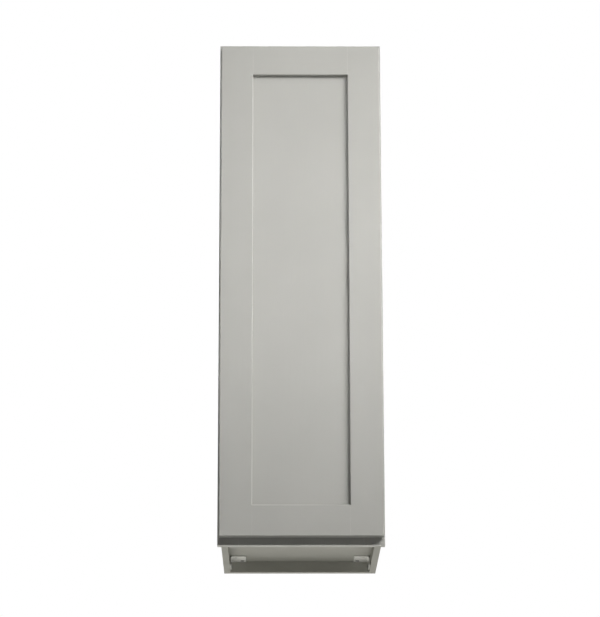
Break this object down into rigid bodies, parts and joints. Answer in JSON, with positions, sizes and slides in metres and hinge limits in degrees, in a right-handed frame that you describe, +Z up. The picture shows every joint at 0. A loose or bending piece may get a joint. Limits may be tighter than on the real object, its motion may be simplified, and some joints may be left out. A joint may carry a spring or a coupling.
{
  "type": "pantry cabinet",
  "caption": "Narrow tall wall-hung pantry cabinet with a face frame, one framed flat-panel door on concealed linkage hinges and adjustable shelves.",
  "frame": {"origin": "middle of the lower hanging rail's rear face, which meets the wall", "axes": "+Z up along the cabinet's height, +Y towards the wall, +X to the right seen from the front"},
  "size_m": [0.3048, 0.3263, 0.9652],
  "materials": {
    "grey_paint": "satin warm grey paint on wood",
    "painted_ply": "satin grey paint outside, clear-coated birch plywood inside",
    "birch_ply": "clear-coated birch plywood",
    "zinc": "zinc-plated steel",
    "nickel": "nickel-plated steel",
    "spring_steel": "bright steel wire and pins",
    "bumper": "clear soft plastic"
  },
  "bodies": {
    "cabinet": {"side_panel_left": "painted_ply", "side_panel_right": "painted_ply", "bottom_panel": "painted_ply", "top_panel": "painted_ply", "back_panel": "birch_ply", "hanging_rail_lower": "birch_ply", "hanging_rail_upper": "birch_ply", "frame_stile_left": "grey_paint", "frame_stile_right": "grey_paint", "frame_rail_bottom": "grey_paint", "frame_rail_top": "grey_paint", "shelf_pins_lower": "nickel", "shelf_pins_upper": "nickel", "corner_bracket_left": "zinc", "corner_bracket_right": "zinc", "bracket_screws": "zinc", "hinge_arm_lower": "nickel", "hinge_arm_upper": "nickel", "hinge_arm_pins_lower": "spring_steel", "hinge_arm_pins_upper": "spring_steel", "hinge_spring_lower": "spring_steel", "hinge_spring_upper": "spring_steel", "hinge_base_lower": "nickel", "hinge_base_upper": "nickel", "hinge_base_screws": "nickel", "hinge_arm_screws": "nickel"},
    "inner_links": {"hinge_inner_link_lower": "nickel", "hinge_inner_link_upper": "nickel"},
    "door": {"door_stile_left": "grey_paint", "door_stile_right": "grey_paint", "door_rail_bottom": "grey_paint", "door_rail_top": "grey_paint", "door_panel": "grey_paint", "door_bumpers": "bumper", "hinge_cup_lower": "nickel", "hinge_cup_upper": "nickel", "hinge_cup_pins_lower": "spring_steel", "hinge_cup_pins_upper": "spring_steel", "hinge_cup_screws": "nickel"},
    "outer_links": {"hinge_outer_link_lower": "nickel", "hinge_outer_link_upper": "nickel"},
    "shelf_lower": {"shelf_lower": "birch_ply"},
    "shelf_upper": {"shelf_upper": "birch_ply"}
  },
  "joints": [
    {"name": "inner_link_pivot", "type": "hinge", "parent": "cabinet", "child": "inner_links", "pos_m": [-0.11135, -0.3113, 0], "axis": [0, 0, 1], "range_deg": [0, 39]},
    {"name": "door_swing", "type": "hinge", "parent": "inner_links", "child": "door", "pos_m": [-0.1347, -0.3121, 0], "axis": [0, 0, -1], "range_deg": [0, 133.85]},
    {"name": "outer_link_pivot", "type": "hinge", "parent": "cabinet", "child": "outer_links", "pos_m": [-0.0973, -0.3033, 0], "axis": [0, 0, 1], "range_deg": [0, 27.5]},
    {"name": "shelf_lower_lift", "type": "slide", "parent": "cabinet", "child": "shelf_lower", "axis": [0, 0, 1], "range_m": [0, 0.03]},
    {"name": "shelf_upper_lift", "type": "slide", "parent": "cabinet", "child": "shelf_upper", "axis": [0, 0, 1], "range_m": [0, 0.03]}
  ],
  "couplings": [
    {"joint": "inner_link_pivot", "follows": "door_swing", "ratio": 0.29028},
    {"joint": "outer_link_pivot", "follows": "door_swing", "ratio": 0.20369}
  ]
}
